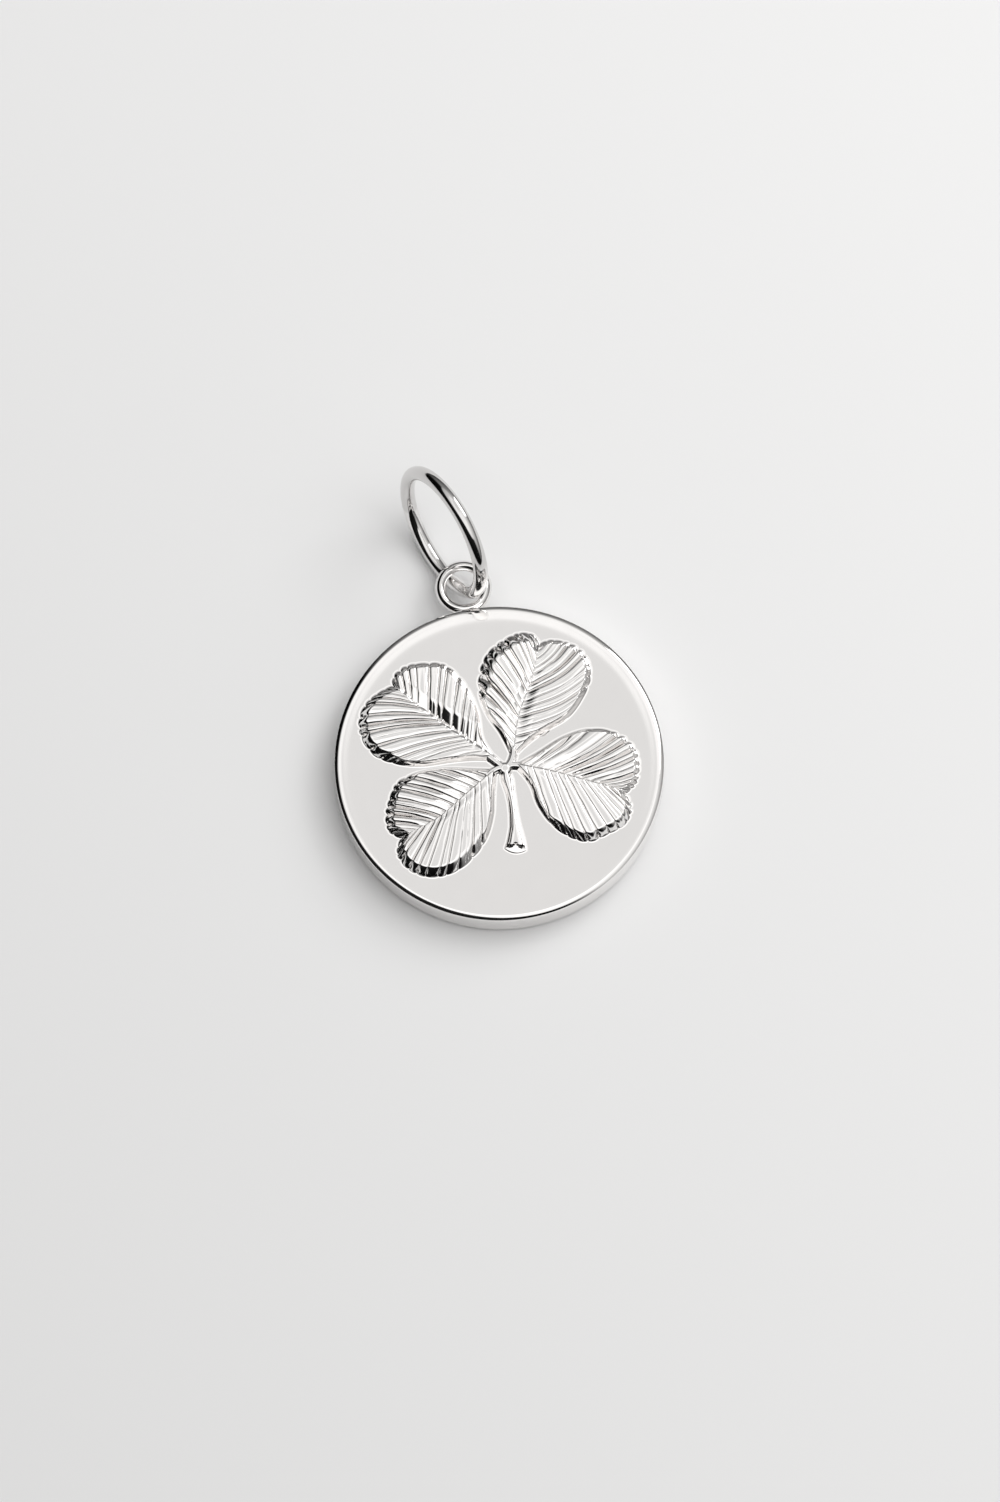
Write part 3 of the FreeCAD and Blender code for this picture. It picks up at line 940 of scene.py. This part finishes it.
def studio_lamps():
    """A softbox at the upper right, which throws the soft shadow to the lower left, and a ceiling light."""
    for lamp in LAMPS:
        data = bpy.data.lights.new(lamp.name, "AREA")
        data.shape = "SQUARE"
        data.size = lamp.size
        data.energy = lamp.energy
        light = bpy.data.objects.new(lamp.name, data)
        bpy.context.collection.objects.link(light)
        light.location = lamp.place
        light.rotation_euler = (Vector((0, 0, 0)) - light.location).to_track_quat("-Z", "Y").to_euler()
        light.visible_glossy = lamp.is_mirrored


def camera():
    """Looks down at the pendant, turned so that the eye points up and to the left."""
    tilt = math.radians(CAMERA_TILT)
    turn = math.radians(CAMERA_TURN)
    right = Vector((math.cos(turn), -math.sin(turn), 0.0))
    back = Vector((-math.sin(tilt) * math.sin(turn), -math.sin(tilt) * math.cos(turn), math.cos(tilt)))
    up = back.cross(right)
    data = bpy.data.cameras.new("camera")
    data.lens = LENS
    data.sensor_width = SENSOR
    data.clip_start = 0.01
    eye = bpy.data.objects.new("camera", data)
    bpy.context.collection.objects.link(eye)
    middle = Vector((0.0, 0.0, FACE_HEIGHT)) + right * FRAME_MIDDLE[0] + up * FRAME_MIDDLE[1]
    place = (middle + back * FRAME_HEIGHT * LENS / SENSOR) * MM
    turned = Matrix((right, up, back)).transposed().to_4x4()
    eye.matrix_world = Matrix.Translation(place) @ turned
    bpy.context.scene.camera = eye


def table():
    """The table top under the pendant."""
    mesh = bpy.data.meshes.new("table")
    corners = [(-1, -1), (1, -1), (1, 1), (-1, 1)]
    mesh.from_pydata([(x * TABLE_REACH, y * TABLE_REACH, 0) for x, y in corners], [], [(0, 1, 2, 3)])
    obj = piece("table", mesh, table_material())
    obj.location.z = -TABLE_GAP


def hub_mesh():
    """The low, level boss where the stem and the stalks meet."""
    work = bmesh.new()
    bmesh.ops.create_uvsphere(work, u_segments=48, v_segments=24, radius=HUB_RADIUS * MM)
    for point in work.verts:
        reach = math.hypot(point.co.x, point.co.y) / (HUB_RADIUS * MM)
        rise = HUB_HEIGHT * (1.0 - min(reach, 1.0) ** HUB_SHOULDER) + HUB_EDGE_HEIGHT
        point.co.z = (FACE_HEIGHT + math.copysign(rise, point.co.z)) * MM
        point.co.x += HUB_CENTRE[0] * MM
        point.co.y += HUB_CENTRE[1] * MM
    mesh = bpy.data.meshes.new("hub")
    work.to_mesh(mesh)
    work.free()
    return mesh


def medallion(silver):
    """Disc, clover and eye as one closed mesh. Returns the tree that makes rings of wire."""
    relief = relief_tree(silver)
    rings = wire_ring_tree(silver)
    foot = (FACE_HEIGHT - FOOT_DEPTH) * MM
    meshes = [disc_mesh(), hub_mesh()]
    chance = np.random.default_rng(11)
    seed = 0
    for leaf in LEAVES:
        shifts = np.arange(FLUTES + 1.0)
        shifts[1:-1] += chance.uniform(-FLUTE_SHIFT, FLUTE_SHIFT, FLUTES - 1)
        for lobe in leaf.lobes:
            seed += 1
            raised = grown_mesh(lobe.name, lobe_sheet(leaf, lobe, shifts), relief, {
                "Seed": seed,
                "Valley Share": lobe.valley,
                "Fold Width": lobe.fold * MM,
                "Fold Crease": lobe.crease,
                "Tip Slope": lobe.slope * MM,
                "Groove Depth": lobe.groove * MM,
                "Ridge Fullness": lobe.fullness,
                "Deep Flute": lobe.deep,
                "Scallop": SCALLOP * MM,
                "Streak Height": STREAK_HEIGHT * MM,
            })
            meshes.append(closed_from_sheet(raised, foot))
    stem = grown_mesh("stem", rib_sheet("stem", STEM, STEM_BULGE), relief, {
        "Relief Height": STEM_HEIGHT * MM,
        "Side Slope": 0.15 * MM,
        "Tip Slope": 1.3 * MM,
        "Crown": 0.25,
        "Crown Width": 0.4 * MM,
    })
    meshes.append(closed_from_sheet(stem, foot))
    for stations in STALKS:
        stalk = grown_mesh("stalk", rib_sheet("stalk", stations, STALK_BULGE), relief, {
            "Relief Height": STALK_HEIGHT * MM,
            "Side Slope": 0.11 * MM,
            "Slope Roundness": 1.8,
        })
        meshes.append(closed_from_sheet(stalk, foot))
    x, y, z = EYE_CENTRE
    meshes.append(grown_mesh("eye", bpy.data.meshes.new("eye"), rings, {
        "Centreline Radius": (EYE_DIAMETER - EYE_WIRE) / 2 * MM,
        "Wire Radius": EYE_WIRE / 2 * MM,
        "Wire Roundness": EYE_WIRE_ROUNDNESS,
        "X": x * MM,
        "Y": y * MM,
        "Z": z * MM,
    }))
    meshes.append(solder_mesh())
    mesh = united(meshes, "medallion_silver")
    without_slivers(mesh)
    crisp_shading(mesh)
    obj = piece("medallion_silver", mesh, silver)
    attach(obj, "root")
    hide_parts("medallion")
    return rings


def bail_ring(silver, rings):
    """The loose ring of round wire, whose lowest point touches the table."""
    radius = (RING_DIAMETER - RING_WIRE) / 2
    lean = math.radians(RING_LEAN)
    height = radius * math.cos(lean) + RING_WIRE / 2
    mesh = grown_mesh("ring", bpy.data.meshes.new("ring"), rings, {
        "Centreline Radius": radius * MM,
        "Wire Radius": RING_WIRE / 2 * MM,
        "Lean": math.pi / 2 - lean,
        "Heading": math.radians(RING_HEADING),
        "X": RING_CENTRE_X * MM,
        "Y": RING_CENTRE_Y * MM,
        "Z": height * MM,
        "Steps": 256,
    })
    mesh.name = "bail_ring_silver"
    mesh.polygons.foreach_set("use_smooth", [True] * len(mesh.polygons))
    obj = piece("bail_ring_silver", mesh, silver)
    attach(obj, "root")
    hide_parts("bail_ring")


def main():
    """Make the scene."""
    silver = polished_silver()
    camera()
    studio_world()
    studio_lamps()
    table()
    rings = medallion(silver)
    bail_ring(silver, rings)


main()
